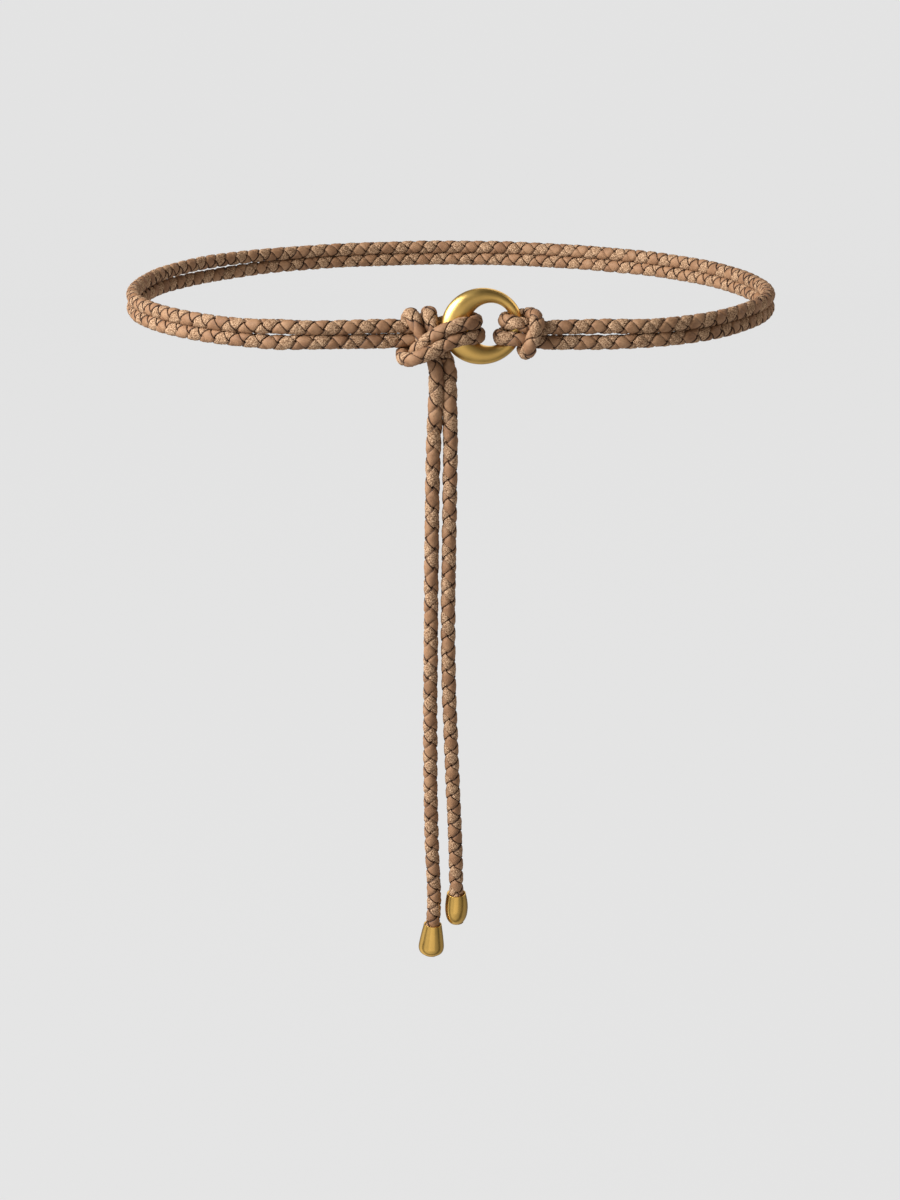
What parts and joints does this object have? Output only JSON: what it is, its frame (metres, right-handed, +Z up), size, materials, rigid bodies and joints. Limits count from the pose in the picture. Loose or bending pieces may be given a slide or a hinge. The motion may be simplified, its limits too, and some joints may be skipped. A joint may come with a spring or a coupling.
{
  "type": "woven suede belt",
  "caption": "Slim waist belt of round-plaited suede cord, used double, hitched to a brass ring and knotted through it, with two long hanging tails ending in brass bell tips.",
  "frame": {"origin": "middle of the waist loop, halfway between the two cords that lie round the waist", "axes": "+Z up along the wearer's body, +X to the right as seen from the front, -Y to the front where the ring and knot are"},
  "size_m": [0.2947, 0.2363, 0.3046],
  "materials": {
    "suede": "soft napped suede, matt",
    "brass": "satin polished"
  },
  "bodies": {
    "root": {"waist_cord_upper": "suede", "waist_cord_lower": "suede", "hitch": "suede", "knot_cord_upper": "suede", "knot_cord_lower": "suede", "tail_left": "suede", "tail_right": "suede", "ring": "brass", "tip_left": "brass", "tip_right": "brass"}
  },
  "joints": []
}
